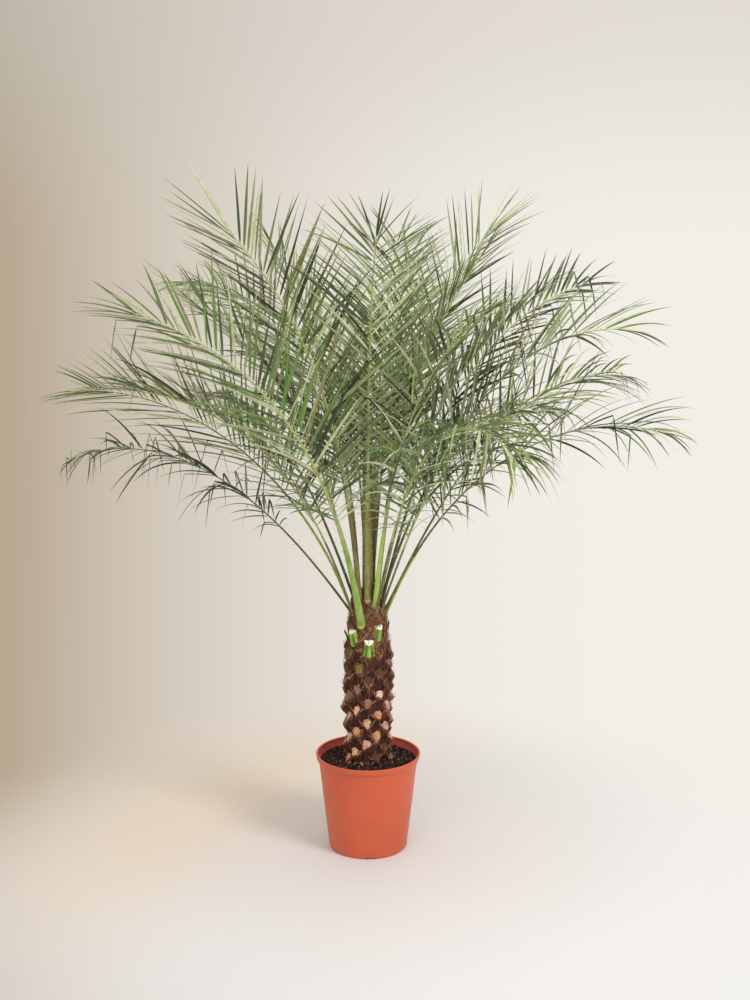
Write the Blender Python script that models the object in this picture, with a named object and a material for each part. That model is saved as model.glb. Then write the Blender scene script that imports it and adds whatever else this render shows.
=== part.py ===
"""Pygmy date palm in a nursery pot: pot, soil, trunk, cut stalks, spear leaf and fronds.

Metres, +Z up. The origin is the centre of the pot's flat underside, and -Y is the front.
Compass angles run anticlockwise from +X, seen from above.
"""

import math
from collections import namedtuple

import bmesh
import bpy
from mathutils import Matrix, Vector

GAP = 0.0003  # between pieces that touch
UP = Vector((0, 0, 1))

# The pot is a tapered plastic shell with a stepped band at its rim and slots round its foot.
POT_HEIGHT = 0.225
FOOT_RADIUS = 0.090
SHOULDER_RADIUS = 0.1135  # just under the rim band
RIM_RADIUS = 0.120
RIM_BAND = 0.013
WALL = 0.002
LIP = 0.006
FLOOR = 0.003
EDGE = 0.0015  # easing of the rim's and the foot's corners
POT_SIDES = 48
SLOT_COUNT = 6
FIRST_SLOT = 274
SLOT_WIDTH = 0.022
SLOT_HEIGHT = 0.0048
SLOT_DEPTH = 0.012

# The soil fills the pot to a little under its rim and is heaped against the trunk.
SOIL_EDGE = 0.203
SOIL_HEAP = 0.209
GROUND = 0.200  # where the trunk's flat cut stands
SOIL_SIDES = 40

# The trunk's outline with its old leaf bases, as height and radius from the cut to the crown.
TRUNK = (
    (GROUND + GAP, 0.052),
    (0.250, 0.051),
    (0.300, 0.0515),
    (0.360, 0.055),
    (0.460, 0.055),
    (0.500, 0.049),
    (0.540, 0.043),
    (0.563, 0.040),
    (0.587, 0.034),
    (0.610, 0.020),
    (0.622, 0.006),
)
TRUNK_SIDES = 28

# The spear is the youngest leaf, still rolled up in the middle of the crown.
SPEAR_FOOT_RADIUS = 0.007
SPEAR_TIP_RADIUS = 0.0015
SPEAR_LENGTH = 0.55
SPEAR_LEAN = 2
SPEAR_HEADING = 100
SPEAR_SIDES = 8

# Stalks of fronds that were cut off: compass angle and height of the middle of each.
CUT_STALKS = (
    (224, 0.509),
    (273, 0.488),
    (303, 0.514),
    (188, 0.470),
    (346, 0.506),
    (132, 0.498),
    (66, 0.484),
)
CUT_STALK_HEIGHT = 0.040
CUT_STALK_FOOT = 0.030
CUT_STALK_TOP = 0.021
CUT_STALK_THICKNESS = 0.016
CUT_STALK_LEAN = 14
CUT_STALK_NOTCH = 0.008  # fall of the cut from its corners to its middle

# Each frond is a thin folded blade round the outline of its leaflets, on a bare stalk.
# heading is the compass angle that it leaves the trunk at and turn how far it swings to one
# side by its tip. Its lean is measured from upright, at the foot and at the tip, and a larger
# bend keeps the curve for the outer end.
Frond = namedtuple("Frond", "heading foot foot_lean tip_lean bend length turn half_width")
FRONDS = (
    # the lowest ring, which arches over and droops
    Frond(152, 0.545, 42, 126, 1.6, 1.00, 0, 0.10),
    Frond(172, 0.555, 20, 107, 1.2, 1.00, -16, 0.10),
    Frond(210, 0.550, 19, 92, 1.6, 0.86, -4, 0.09),
    Frond(244, 0.530, 17, 84, 1.7, 1.08, -28, 0.11),
    Frond(320, 0.555, 21, 98, 2.1, 0.78, 0, 0.08),
    Frond(295, 0.550, 22, 140, 2.1, 0.94, 0, 0.09),
    Frond(350, 0.545, 27, 110, 1.6, 0.95, -40, 0.10),
    Frond(18, 0.550, 28, 121, 2.1, 0.98, 16, 0.10),
    Frond(58, 0.545, 34, 122, 1.7, 0.98, -10, 0.10),
    Frond(94, 0.550, 30, 118, 1.7, 1.00, 8, 0.10),
    Frond(126, 0.550, 34, 112, 1.6, 0.98, -6, 0.10),
    # the middle ring, which spreads
    Frond(134, 0.580, 7, 97, 1.8, 1.00, 14, 0.09),
    Frond(234, 0.585, 8, 54, 1.6, 1.02, -22, 0.10),
    Frond(310, 0.580, 13, 84, 1.8, 1.00, -6, 0.10),
    Frond(340, 0.570, 20, 109, 2.4, 1.00, -18, 0.10),
    Frond(16, 0.575, 15, 91, 2.1, 1.00, 6, 0.10),
    Frond(76, 0.575, 15, 92, 1.8, 1.00, -6, 0.09),
    # the inner ring, nearly upright
    Frond(40, 0.590, 8, 62, 2.0, 1.05, -12, 0.10),
    Frond(80, 0.590, 10, 64, 1.8, 1.00, 0, 0.08),
    Frond(192, 0.590, 12, 66, 1.9, 0.84, -4, 0.08),
    Frond(274, 0.575, 2, 60, 1.6, 1.02, 0, 0.09),
    Frond(350, 0.590, 12, 64, 1.9, 0.86, -14, 0.08),
    # the heart, young and narrow
    Frond(62, 0.600, 4, 38, 1.8, 0.86, 0, 0.06),
    Frond(158, 0.600, 4, 42, 1.8, 0.90, 0, 0.06),
    Frond(356, 0.600, 6, 42, 1.8, 0.88, 0, 0.06),
)
FOOT_DEPTH = 0.006  # a stalk's middle line starts this far inside the trunk's outline
STALK_SHARE = 0.27  # of the length, bare of leaflets
STALK_WIDTH_SHARE = 0.10  # of the blade's width, at the foot of the stalk
STALK_TAPER = 0.4
RIB_THICKNESS = 0.008
RIB_THINNING = 0.006
TIP_HALF_WIDTH = 0.006
BLADE_FOLD = 0.3  # rise of the blade's edges over its half width
STATIONS = 16
STEPS_PER_STATION = 8
SPLIT_ARCH = 70  # a frond that bends further than this is made in two pieces
SPLIT_STATION = 9

POT_COLOUR = (0.55, 0.10, 0.045)
SOIL_COLOUR = (0.030, 0.018, 0.012)
BARK_COLOUR = (0.085, 0.035, 0.022)
STALK_COLOUR = (0.20, 0.33, 0.06)
LEAF_COLOUR = (0.10, 0.17, 0.055)
SPEAR_COLOUR = (0.30, 0.33, 0.12)

Station = namedtuple("Station", "along place forward side face")


def clear_scene():
    for obj in list(bpy.data.objects):
        bpy.data.objects.remove(obj, do_unlink=True)


def finish(name, colour, roughness):
    """A Principled material of one colour."""
    material = bpy.data.materials.new(name)
    material.use_nodes = True
    shader = material.node_tree.nodes["Principled BSDF"]
    shader.inputs["Base Color"].default_value = (*colour, 1)
    shader.inputs["Roughness"].default_value = roughness
    shader.inputs["Metallic"].default_value = 0
    return material


def add_object(name, mesh, material=None):
    obj = bpy.data.objects.new(name, mesh)
    bpy.context.scene.collection.objects.link(obj)
    if material:
        mesh.materials.append(material)
    return obj


def object_from(name, bm, material=None):
    bmesh.ops.recalc_face_normals(bm, faces=bm.faces)
    mesh = bpy.data.meshes.new(name)
    bm.to_mesh(mesh)
    bm.free()
    return add_object(name, mesh, material)


def turned(name, outline, sides, material=None):
    """A solid of revolution. The outline is (radius, height) pairs that end on the axis, running
    down the outer side."""
    mesh = bpy.data.meshes.new(name)
    points = [(radius, 0, height) for radius, height in outline]
    mesh.from_pydata(points, [(i, i + 1) for i in range(len(points) - 1)], [])
    obj = add_object(name, mesh, material)
    screw = obj.modifiers.new("Turn", "SCREW")
    screw.axis = "Z"
    screw.steps = screw.render_steps = sides
    screw.use_merge_vertices = True
    screw.merge_threshold = 0.0001
    screw.use_smooth_shade = True
    return obj


def as_cutter(obj):
    obj.hide_render = True
    obj.display_type = "WIRE"
    return obj


def cut(obj, cutter, name):
    boolean = obj.modifiers.new(name, "BOOLEAN")
    boolean.operation = "DIFFERENCE"
    boolean.solver = "EXACT"
    boolean.object = cutter


def heading_vector(heading):
    angle = math.radians(heading)
    return Vector((math.cos(angle), math.sin(angle), 0))


def wall_radius(height):
    """The pot's outer radius below its rim band."""
    share = height / (POT_HEIGHT - RIM_BAND)
    return FOOT_RADIUS + (SHOULDER_RADIUS - FOOT_RADIUS) * share


def trunk_radius(height):
    for (low, low_radius), (high, high_radius) in zip(TRUNK, TRUNK[1:]):
        if height <= high:
            return low_radius + (high_radius - low_radius) * (height - low) / (high - low)
    return 0


def slot_cutter():
    """One box for each drainage slot, set round the pot's foot and open to its outside."""
    bm = bmesh.new()
    for number in range(SLOT_COUNT):
        turn = Matrix.Rotation(math.radians(FIRST_SLOT + 360 * number / SLOT_COUNT), 4, "Z")
        place = Matrix.Translation((FOOT_RADIUS, 0, 0))
        size = Matrix.Diagonal((2 * SLOT_DEPTH, SLOT_WIDTH, 2 * SLOT_HEIGHT, 1))
        bmesh.ops.create_cube(bm, size=1, matrix=turn @ place @ size)
    return as_cutter(object_from("slot_cutter", bm))


def make_pot(material):
    band_foot = POT_HEIGHT - RIM_BAND
    outline = (
        (0, FLOOR),
        (wall_radius(FLOOR) - WALL, FLOOR),
        (SHOULDER_RADIUS - WALL, band_foot - WALL),
        (RIM_RADIUS - LIP, band_foot + WALL),
        (RIM_RADIUS - LIP, POT_HEIGHT - EDGE),
        (RIM_RADIUS - LIP + EDGE, POT_HEIGHT),
        (RIM_RADIUS - EDGE, POT_HEIGHT),
        (RIM_RADIUS, POT_HEIGHT - EDGE),
        (RIM_RADIUS, band_foot + EDGE),
        (RIM_RADIUS - EDGE, band_foot),
        (SHOULDER_RADIUS, band_foot),
        (wall_radius(EDGE), EDGE),
        (FOOT_RADIUS - EDGE, 0),
        (0, 0),
    )
    pot = turned("pot", outline, POT_SIDES, material)
    cut(pot, slot_cutter(), "Slots")


def make_soil(material):
    socket = TRUNK[0][1] + GAP
    outline = (
        (0, GROUND),
        (socket, GROUND),
        (socket, SOIL_HEAP),
        (wall_radius(SOIL_EDGE) - WALL - GAP, SOIL_EDGE),
        (wall_radius(FLOOR) - WALL - GAP, FLOOR + GAP),
        (0, FLOOR + GAP),
    )
    turned("soil", outline, SOIL_SIDES, material)


def trunk_outline(margin):
    top = TRUNK[-1][0] + margin
    ring = [(radius + margin, height) for height, radius in reversed(TRUNK)]
    ring[0] = (ring[0][0], top)
    return [(0, top), *ring, (0, TRUNK[0][0])]


def make_trunk(material):
    turned("trunk", trunk_outline(0), TRUNK_SIDES, material)


def trunk_clearance():
    """The trunk grown by the gap that each stalk keeps to it."""
    return as_cutter(turned("trunk_clearance", trunk_outline(GAP), TRUNK_SIDES))


def skin(bm, rings):
    """Joins equal rings of points into one closed tube."""
    rows = [[bm.verts.new(point) for point in ring] for ring in rings]
    count = len(rows[0])
    for near, far in zip(rows, rows[1:]):
        for i in range(count):
            j = (i + 1) % count
            bm.faces.new((near[i], near[j], far[j], far[i]))
    bm.faces.new(rows[0][::-1])
    bm.faces.new(rows[-1])


def make_cut_stalk(name, heading, height, material, clearance):
    """A stump of a frond's stalk: flat towards the trunk, keeled outside, with a notched cut."""
    lean = math.radians(CUT_STALK_LEAN)
    out = heading_vector(heading)
    along = UP * math.cos(lean) + out * math.sin(lean)
    side = UP.cross(out)
    front = side.cross(along)
    foot = out * (trunk_radius(height) - CUT_STALK_THICKNESS / 2) + UP * height
    foot -= along * CUT_STALK_HEIGHT / 2
    rings = []
    for rise, width, notch in ((0, CUT_STALK_FOOT, 0), (1, CUT_STALK_TOP, CUT_STALK_NOTCH)):
        middle = foot + along * CUT_STALK_HEIGHT * rise
        half = side * width / 2
        keel = front * CUT_STALK_THICKNESS
        cheek = keel / 2
        fall = along * notch
        ring = (
            middle - half,
            middle - fall / 2,
            middle + half,
            middle + half + cheek,
            middle + keel - fall,
            middle - half + cheek,
        )
        rings.append(ring)
    bm = bmesh.new()
    skin(bm, rings)
    cut(object_from(name, bm, material), clearance, "Seat")


def make_spear(material, clearance):
    lean = math.radians(SPEAR_LEAN)
    forward = UP * math.cos(lean) + heading_vector(SPEAR_HEADING) * math.sin(lean)
    foot = UP * (TRUNK[-1][0] - FOOT_DEPTH)
    across = forward.orthogonal().normalized()
    other = forward.cross(across)
    rings = []
    for rise, radius in ((0, SPEAR_FOOT_RADIUS), (1, SPEAR_TIP_RADIUS)):
        ring = []
        for i in range(SPEAR_SIDES):
            angle = math.tau * i / SPEAR_SIDES
            spoke = across * math.cos(angle) + other * math.sin(angle)
            ring.append(foot + forward * SPEAR_LENGTH * rise + spoke * radius)
        rings.append(ring)
    bm = bmesh.new()
    skin(bm, rings)
    cut(object_from("spear", bm, material), clearance, "Seat")


def rib_stations(frond):
    """Places along the frond's rib, evenly spaced, each with its own three directions."""
    steps = STATIONS * STEPS_PER_STATION
    foot_radius = trunk_radius(frond.foot) - FOOT_DEPTH
    place = heading_vector(frond.heading) * foot_radius + UP * frond.foot
    stations = []
    for step in range(steps + 1):
        along = step / steps
        lean = math.radians(
            frond.foot_lean + (frond.tip_lean - frond.foot_lean) * along**frond.bend
        )
        out = heading_vector(frond.heading + frond.turn * along)
        forward = UP * math.cos(lean) + out * math.sin(lean)
        face = UP * math.sin(lean) - out * math.cos(lean)
        if step % STEPS_PER_STATION == 0:
            stations.append(Station(along, place.copy(), forward, forward.cross(face), face))
        place += forward * frond.length / steps
    return stations


def blade_half_width(frond, along):
    """A slim stalk, then the outline of the leaflets, widest past the middle."""
    if along < STALK_SHARE:
        taper = 1 - STALK_TAPER * along / STALK_SHARE
        return STALK_WIDTH_SHARE * frond.half_width * taper
    leafy = (along - STALK_SHARE) / (1 - STALK_SHARE)
    return TIP_HALF_WIDTH + frond.half_width * max(math.sin(math.pi * leafy**0.85), 0) ** 0.9


def blade_ring(frond, station):
    """The blade's four corners: an edge, the top of the rib, the other edge, and its underside."""
    width = blade_half_width(frond, station.along)
    if station.along < STALK_SHARE:
        thickness = width * 1.1
        rise = 0
    else:
        thickness = RIB_THICKNESS - RIB_THINNING * station.along
        rise = BLADE_FOLD * width
    edge = station.face * rise
    half_rib = station.face * thickness / 2
    return (
        station.place - station.side * width + edge,
        station.place + half_rib,
        station.place + station.side * width + edge,
        station.place - half_rib,
    )


def make_blade(name, frond, stations, material):
    bm = bmesh.new()
    skin(bm, [blade_ring(frond, station) for station in stations])
    return object_from(name, bm, material)


def make_frond(name, frond, material, clearance):
    stations = rib_stations(frond)
    if frond.tip_lean - frond.foot_lean <= SPLIT_ARCH:
        cut(make_blade(name, frond, stations, material), clearance, "Seat")
        return
    lower = stations[: SPLIT_STATION + 1]
    upper = stations[SPLIT_STATION:]
    first = upper[0]
    upper[0] = first._replace(place=first.place + first.forward * GAP)
    cut(make_blade(name + "_lower", frond, lower, material), clearance, "Seat")
    make_blade(name + "_upper", frond, upper, material)


def main():
    clear_scene()
    make_pot(finish("pot plastic", POT_COLOUR, 0.45))
    make_soil(finish("soil", SOIL_COLOUR, 0.95))
    make_trunk(finish("bark", BARK_COLOUR, 0.9))
    clearance = trunk_clearance()
    stalk = finish("stalk", STALK_COLOUR, 0.5)
    for number, (heading, height) in enumerate(CUT_STALKS, 1):
        make_cut_stalk(f"cut_stalk_{number}", heading, height, stalk, clearance)
    make_spear(finish("spear leaf", SPEAR_COLOUR, 0.5), clearance)
    leaf = finish("leaf", LEAF_COLOUR, 0.5)
    for number, frond in enumerate(FRONDS, 1):
        make_frond(f"frond_{number:02d}", frond, leaf, clearance)


main()
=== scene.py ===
import random
from collections import namedtuple
from itertools import combinations
from math import cos, degrees, hypot, radians, sin, sqrt, tau
from types import SimpleNamespace

import bpy
from mathutils import Matrix, Vector
from mathutils.noise import noise


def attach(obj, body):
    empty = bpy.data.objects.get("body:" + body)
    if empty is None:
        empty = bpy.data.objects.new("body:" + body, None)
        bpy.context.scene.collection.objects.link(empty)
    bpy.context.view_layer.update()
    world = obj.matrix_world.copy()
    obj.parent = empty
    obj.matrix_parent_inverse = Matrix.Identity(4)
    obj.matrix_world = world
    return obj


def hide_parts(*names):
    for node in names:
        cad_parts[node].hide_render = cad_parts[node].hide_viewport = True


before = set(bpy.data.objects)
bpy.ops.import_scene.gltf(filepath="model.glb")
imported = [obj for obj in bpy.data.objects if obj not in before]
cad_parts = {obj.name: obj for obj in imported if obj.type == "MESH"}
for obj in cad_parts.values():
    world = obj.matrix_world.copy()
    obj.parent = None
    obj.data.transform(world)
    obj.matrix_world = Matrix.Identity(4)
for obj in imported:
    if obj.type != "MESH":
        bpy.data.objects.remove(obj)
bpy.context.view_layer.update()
up = Vector((0, 0, 1))
goldenAngle = 137.508


def rgb(red, green, blue):
    # screen values from 0 to 255 as the linear colour that a shader takes
    shares = [value / 255 for value in (red, green, blue)]
    return tuple(s / 12.92 if s <= 0.04045 else ((s + 0.055) / 1.055) ** 2.4 for s in shares)


def lerp(low, high, share):
    return low + (high - low) * share


def clamp(value):
    return min(max(value, 0), 1)


def shares(count):
    # from 0 to 1 in equal steps
    return [i / count for i in range(count + 1)]


def swing(first, second, angle):
    # the direction at an angle from the first towards the second
    return first * cos(angle) + second * sin(angle)


def spoke(heading):
    # a level direction, by its compass angle anticlockwise from +X
    return swing(Vector((1, 0, 0)), Vector((0, 1, 0)), radians(heading))


def polar(heading, radius, height):
    return spoke(heading) * radius + up * height


class Wire:
    # a node's output that Python sums can be written with
    def __init__(self, socket):
        self.socket = socket

    def maths(self, operation, *values):
        return Nodes(self.socket.id_data).node("Math", {"operation": operation}, dict(enumerate(values)))

    def __add__(self, other):
        return self.maths("ADD", self, other)

    def __sub__(self, other):
        return self.maths("SUBTRACT", self, other)

    def __rsub__(self, other):
        return self.maths("SUBTRACT", other, self)

    def __mul__(self, other):
        return self.maths("MULTIPLY", self, other)

    __radd__ = __add__
    __rmul__ = __mul__

    def clamp(self):
        return self.maths("MAXIMUM", self.maths("MINIMUM", self, 1), 0)

    def band(self, low, high):
        # 0 below low and 1 above high, or the other way round, with a soft step between
        share = ((self - low) * (1 / (high - low))).clamp()
        return share * share * (3 - 2 * share)


class Nodes:
    # adds nodes to one material's tree, or to the world's
    def __init__(self, tree):
        self.tree = tree

    def node(self, kind, settings=None, values=None, output=0):
        made = self.tree.nodes.new("ShaderNode" + kind)
        for key, value in (settings or {}).items():
            setattr(made, key, value)
        for key, value in (values or {}).items():
            self.join(value, made.inputs[key])
        return Wire(made.outputs[output])

    def join(self, value, socket):
        if isinstance(value, Wire):
            self.tree.links.new(value.socket, socket)
        elif socket.type == "RGBA":
            socket.default_value = (*value, 1)
        else:
            socket.default_value = value

    def noise(self, scale, detail=3, roughness=0.55, stretch=(1, 1, 1)):
        spot = self.node("TexCoord", output="Object")
        place = self.node("VectorMath", {"operation": "MULTIPLY"}, {0: spot, 1: stretch})
        values = {"Vector": place, "Scale": scale, "Detail": detail, "Roughness": roughness}
        return self.node("TexNoise", {}, values)

    def blend(self, share, low, high):
        return self.node("Mix", {"data_type": "RGBA"}, {0: share, 6: low, 7: high}, 2)

    def coordinate(self, axis, output="Object"):
        return self.node("SeparateXYZ", {}, {0: self.node("TexCoord", output=output)}, axis)


class Finish(Nodes):
    # a Principled material
    def __init__(self, name, **sockets):
        self.material = bpy.data.materials.new(name)
        self.material.use_nodes = True
        super().__init__(self.material.node_tree)
        self.shader = self.tree.nodes["Principled BSDF"]
        self.feed(**sockets)

    def feed(self, **sockets):
        for key, value in sockets.items():
            self.join(value, self.shader.inputs[key.replace("_", " ").title().replace("Ior", "IOR")])

    def bump(self, height, distance, strength=1):
        values = {"Height": height, "Distance": distance, "Strength": strength}
        self.feed(normal=self.node("Bump", {}, values))


dull = {"roughness": 0.9, "specular_ior_level": 0.25}


def mottled(name, tones, grain, band, bump=0, worn=None, **sockets):
    # the colour runs from one tone to the other over a noise, which may stand up as a bump, and
    # the worn patches are dark: their noise, the band that shows, their strength and their shade
    finish = Finish(name, **sockets)
    finish.grain = finish.noise(*grain)
    base = finish.blend(finish.grain.band(*band), rgb(*tones[0]), rgb(*tones[1]))
    if worn:
        scale, low, high, strength, shade = worn
        dark = tuple(c * shade for c in rgb(*min(tones)))
        base = finish.blend(finish.noise(scale, 3, 0.6).band(low, high) * strength, base, dark)
    finish.feed(base_color=base)
    if bump:
        finish.bump(finish.grain, bump)
    return finish


def addObject(name, data):
    obj = bpy.data.objects.new(name, data)
    bpy.context.scene.collection.objects.link(obj)
    return obj


class Pile:
    # the points and faces of one joined piece, each face with its finish and its place on a UV map
    def __init__(self):
        self.points = []
        self.faces = []
        self.finishes = []
        self.uvs = []

    def face(self, corners, finish=0, uvs=None):
        self.faces.append(tuple(corners))
        self.uvs.append(uvs or [(0.5, 0.5)] * len(corners))
        self.finishes.append(finish)

    def grid(self, rows, finish=0, around=False, fillEnds=False):
        # rows of equal length, joined into a sheet, or into a tube when they run around
        pick = finish if callable(finish) else lambda i, j: finish
        first, count = len(self.points), len(rows[0])
        for row in rows:
            self.points.extend(row)
        columns = count if around else count - 1
        for i in range(len(rows) - 1):
            v, w = i / (len(rows) - 1), (i + 1) / (len(rows) - 1)
            a, b = first + i * count, first + (i + 1) * count
            for j in range(columns):
                k = (j + 1) % count
                t, u = j / columns, (j + 1) / columns
                self.face((a + j, a + k, b + k, b + j), pick(i, j), ((t, v), (u, v), (u, w), (t, w)))
        if fillEnds:
            last = len(self.points) - count
            self.face(range(first + count - 1, first - 1, -1), pick(0, 0))
            self.face(range(last, last + count), pick(0, 0))

    def lump(self, shape, place, turn, size, finish=0):
        # a copy of a small shape, which is its points and its faces
        matrix = Matrix.Translation(place) @ turn @ Matrix.Diagonal((*size, 1))
        first = len(self.points)
        self.points.extend(matrix @ point for point in shape[0])
        for corners in shape[1]:
            self.face([first + i for i in corners], finish)

    def mesh(self, name):
        mesh = bpy.data.meshes.new(name)
        mesh.from_pydata(self.points, [], self.faces)
        return mesh

    def piece(self, name, finishes, slot, nodes=(), sharp=None):
        # sharp is the angle past which an edge shows, or False for flat faces
        mesh = self.mesh(name)
        for finish in finishes:
            mesh.materials.append(finish.material)
        mesh.polygons.foreach_set("material_index", self.finishes)
        layer = mesh.uv_layers.new(name="place")
        layer.data.foreach_set("uv", [value for face in self.uvs for corner in face for value in corner])
        if sharp is not False:
            mesh.shade_smooth()
        if sharp:
            mesh.set_sharp_from_angle(angle=radians(sharp))
        obj = addObject(name, mesh)
        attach(obj, "root")
        if nodes:
            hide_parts(*nodes)
        return obj


def ring(centre, across, other, radius, sides):
    return [centre + swing(across, other, tau * i / sides) * radius for i in range(sides)]


def crumbShape():
    # a lumpy pebble of twenty faces, one unit across
    golden = (1 + sqrt(5)) / 2
    points = []
    for a in (-1, 1):
        for b in (-golden, golden):
            points += [Vector(corner).normalized() * 0.5 for corner in ((0, a, b), (a, b, 0), (b, 0, a))]
    faces = []
    for i, j, k in combinations(range(12), 3):
        near, middle, far = points[i], points[j], points[k]
        if max((near - middle).length, (middle - far).length, (far - near).length) < 0.6:
            outward = (middle - near).cross(far - near).dot(near) > 0
            faces.append((i, j, k) if outward else (i, k, j))
    return points, faces


studio = {
    "eye": (0.016, -3.3, 1.47),
    "pitch": 11.2,  # degrees below level
    "lens": 54.36, "frameHeight": 36,
    # the left colour of each pair is darker with painted shadow, and the right one is the lit side
    "wall": (rgb(184, 167, 145), rgb(243, 239, 232)),  # each pair is left and right
    "wallTop": (rgb(189, 181, 167), rgb(226, 220, 212)),
    "ground": (rgb(214, 206, 198), rgb(243, 241, 238)),
    "floor": rgb(221, 219, 221),
    "floorShadow": rgb(225, 212, 198),  # painted shadow, behind and to the left of the pot
    "floorRings": (1.6, 1.2, 0.8, 0.4, 0.02),
    "ambient": 1.0,
    "wallSpread": (-0.235, 0.185),  # sideways, from the left colour to the right one
    "behind": (0.45, 0.75),  # the painted shadow at the wall's dark end shows only behind the plant
    "wallRise": (-0.04, 0.13),  # up to the top colours
    "groundDrop": (-0.35, -0.43),  # down to the ground's
    "floorShadowFade": (0.0, 0.45),
    "floorFade": (0.40, 1.10),  # where the floor fades out into the backdrop
    "lamps": {
        "key": {"power": 62, "place": (1.9, -1.9, 2.4), "size": 1.1, "colour": (1, 0.985, 0.96)},
        "fill": {"power": 34, "place": (-1.2, -3.2, 2.0), "size": 2.6, "colour": (0.96, 0.98, 1)},
        "top": {"power": 20, "place": (0.0, 0.6, 3.4), "size": 2.6, "colour": (1, 1, 1)},
    },
    "aim": (0, 0, 0.8),  # where the lamps point
}


def makeCamera():
    data = bpy.data.cameras.new("camera")
    data.sensor_fit = "VERTICAL"
    data.sensor_height = studio["frameHeight"]
    data.lens = studio["lens"]
    camera = addObject("camera", data)
    camera.location = studio["eye"]
    camera.rotation_euler = (radians(90 - studio["pitch"]), 0, 0)
    bpy.context.scene.camera = camera


def makeLamp(name, power, place, size, colour):
    data = bpy.data.lights.new(name, "AREA")
    data.size = size
    data.energy = power
    data.color = colour
    lamp = addObject(name, data)
    lamp.location = place
    lamp.rotation_mode = "QUATERNION"
    lamp.rotation_quaternion = (Vector(place) - Vector(studio["aim"])).to_track_quat("Z", "Y")


def makeWorld():
    world = bpy.data.worlds.new("studio")
    bpy.context.scene.world = world
    world.use_nodes = True
    nodes = Nodes(world.node_tree)
    left, right = studio["wallSpread"]
    across = ((nodes.coordinate(0, "Generated") - left) * (1 / (right - left))).clamp()
    behind = nodes.coordinate(1, "Generated").band(*studio["behind"])
    # painted shadow: the backdrop darkens towards the left, only behind the plant
    sideways = (across * (2 - across) - 0.8) * behind + 0.8
    above = nodes.coordinate(2, "Generated").band(*studio["wallRise"])
    below = nodes.coordinate(2, "Generated").band(*studio["groundDrop"])
    wall, top, ground = [nodes.blend(sideways, *studio[key]) for key in ("wall", "wallTop", "ground")]
    backdrop = world.node_tree.nodes["Background"]
    nodes.join(nodes.blend(below, nodes.blend(above, wall, top), ground), backdrop.inputs["Color"])
    backdrop.inputs["Strength"].default_value = studio["ambient"]


def makeFloor():
    sides = 64
    pile = Pile()
    rows = [ring(Vector(), spoke(0), spoke(90), radius, sides) for radius in studio["floorRings"]]
    pile.grid(rows, around=True)
    pile.face(range(len(pile.points) - sides, len(pile.points)))
    finish = Finish("floor", roughness=0.6, specular_ior_level=0.2)
    # a painted shadow of brownish tone on the floor, behind and to the left of the pot
    paintedShadow = (finish.coordinate(1) * 0.5 - finish.coordinate(0) * 0.8).band(*studio["floorShadowFade"])
    finish.feed(base_color=finish.blend(paintedShadow, studio["floor"], studio["floorShadow"]))
    spot = finish.node("TexCoord", output="Object")
    reach = finish.node("VectorMath", {"operation": "LENGTH"}, {0: spot}, "Value")
    far = reach.band(*studio["floorFade"])
    clear = finish.node("BsdfTransparent")
    surface = finish.node("MixShader", {}, {0: far, 1: Wire(finish.shader.outputs[0]), 2: clear})
    finish.join(surface, finish.tree.nodes["Material Output"].inputs["Surface"])
    mesh = pile.mesh("floor")
    mesh.materials.append(finish.material)
    addObject("floor", mesh)


bpy.context.scene.view_settings.view_transform = "Standard"
makeCamera()
for lampName, settings in studio["lamps"].items():
    makeLamp(lampName, **settings)
makeWorld()
makeFloor()
print("studio ready")

pot = {
    "height": 0.225, "footRadius": 0.090, "shoulderRadius": 0.1135, "rimRadius": 0.120,
    "band": 0.013,
    "bandFlare": 0.0020,  # how much the band draws in from its lip to its foot
    "wall": 0.002, "lip": 0.0046, "floor": 0.003, "sides": 192,
    "slots": 6, "firstSlot": 274, "slotWidth": 0.022, "slotHeight": 0.0048, "slotDepth": 0.0118,
    "colours": {  # plain and deep; the inside is painted darker as shade, and the lip is painted pale along its top as a highlight
        "pot plastic": ((196, 87, 52), (181, 77, 46)),
        "pot plastic inside": ((190, 72, 56), (160, 56, 44)),
        "pot plastic lip highlight": ((206, 104, 80), (196, 87, 52)),
    },
    "dustColour": (216, 150, 124),
}


def potWall(height):
    # the outer wall's radius below the rim band
    return lerp(pot["footRadius"], pot["shoulderRadius"], height / (pot["height"] - pot["band"]))


def arc(centreRadius, centreHeight, size, start, end, steps=5):
    # points of a rounded corner, as radius and height
    angles = [radians(lerp(start, end, share)) for share in shares(steps)]
    return [(centreRadius + size * cos(a), centreHeight + size * sin(a)) for a in angles]


def potOutline():
    # from the middle of the underside, out, up and over the lip, and down to the middle inside
    top, rim, wall = pot["height"], pot["rimRadius"], pot["wall"]
    foot = top - pot["band"]
    inner = rim - pot["lip"]
    outline = [(0, 0.0006), (0.070, 0.0006), (0.072, 0)]
    outline += arc(pot["footRadius"] - 0.004, 0.004, 0.004, -90, 0)
    outline += [(potWall(foot * share), foot * share) for share in (0.2, 0.4, 0.6, 0.8, 0.94)]
    outline += arc(potWall(foot) + 0.0012, foot - 0.0016, 0.0012, 180, 90, 3)
    outline += arc(rim - pot["bandFlare"] - 0.001, foot + 0.0008, 0.001, -90, 0, 3)
    outline += arc(rim - 0.0016, top - 0.0016, 0.0016, 0, 90)
    outline += arc(inner + 0.0016, top - 0.0016, 0.0016, 90, 180)
    inside = [(inner, foot + 0.003), (pot["shoulderRadius"] - wall, foot - 0.001)]
    inside += [(potWall(foot * share) - wall, foot * share) for share in (0.8, 0.4, 0.03)]
    inside += [(0.02, pot["floor"]), (0, pot["floor"])]
    return outline + inside, len(outline) - 1


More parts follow.
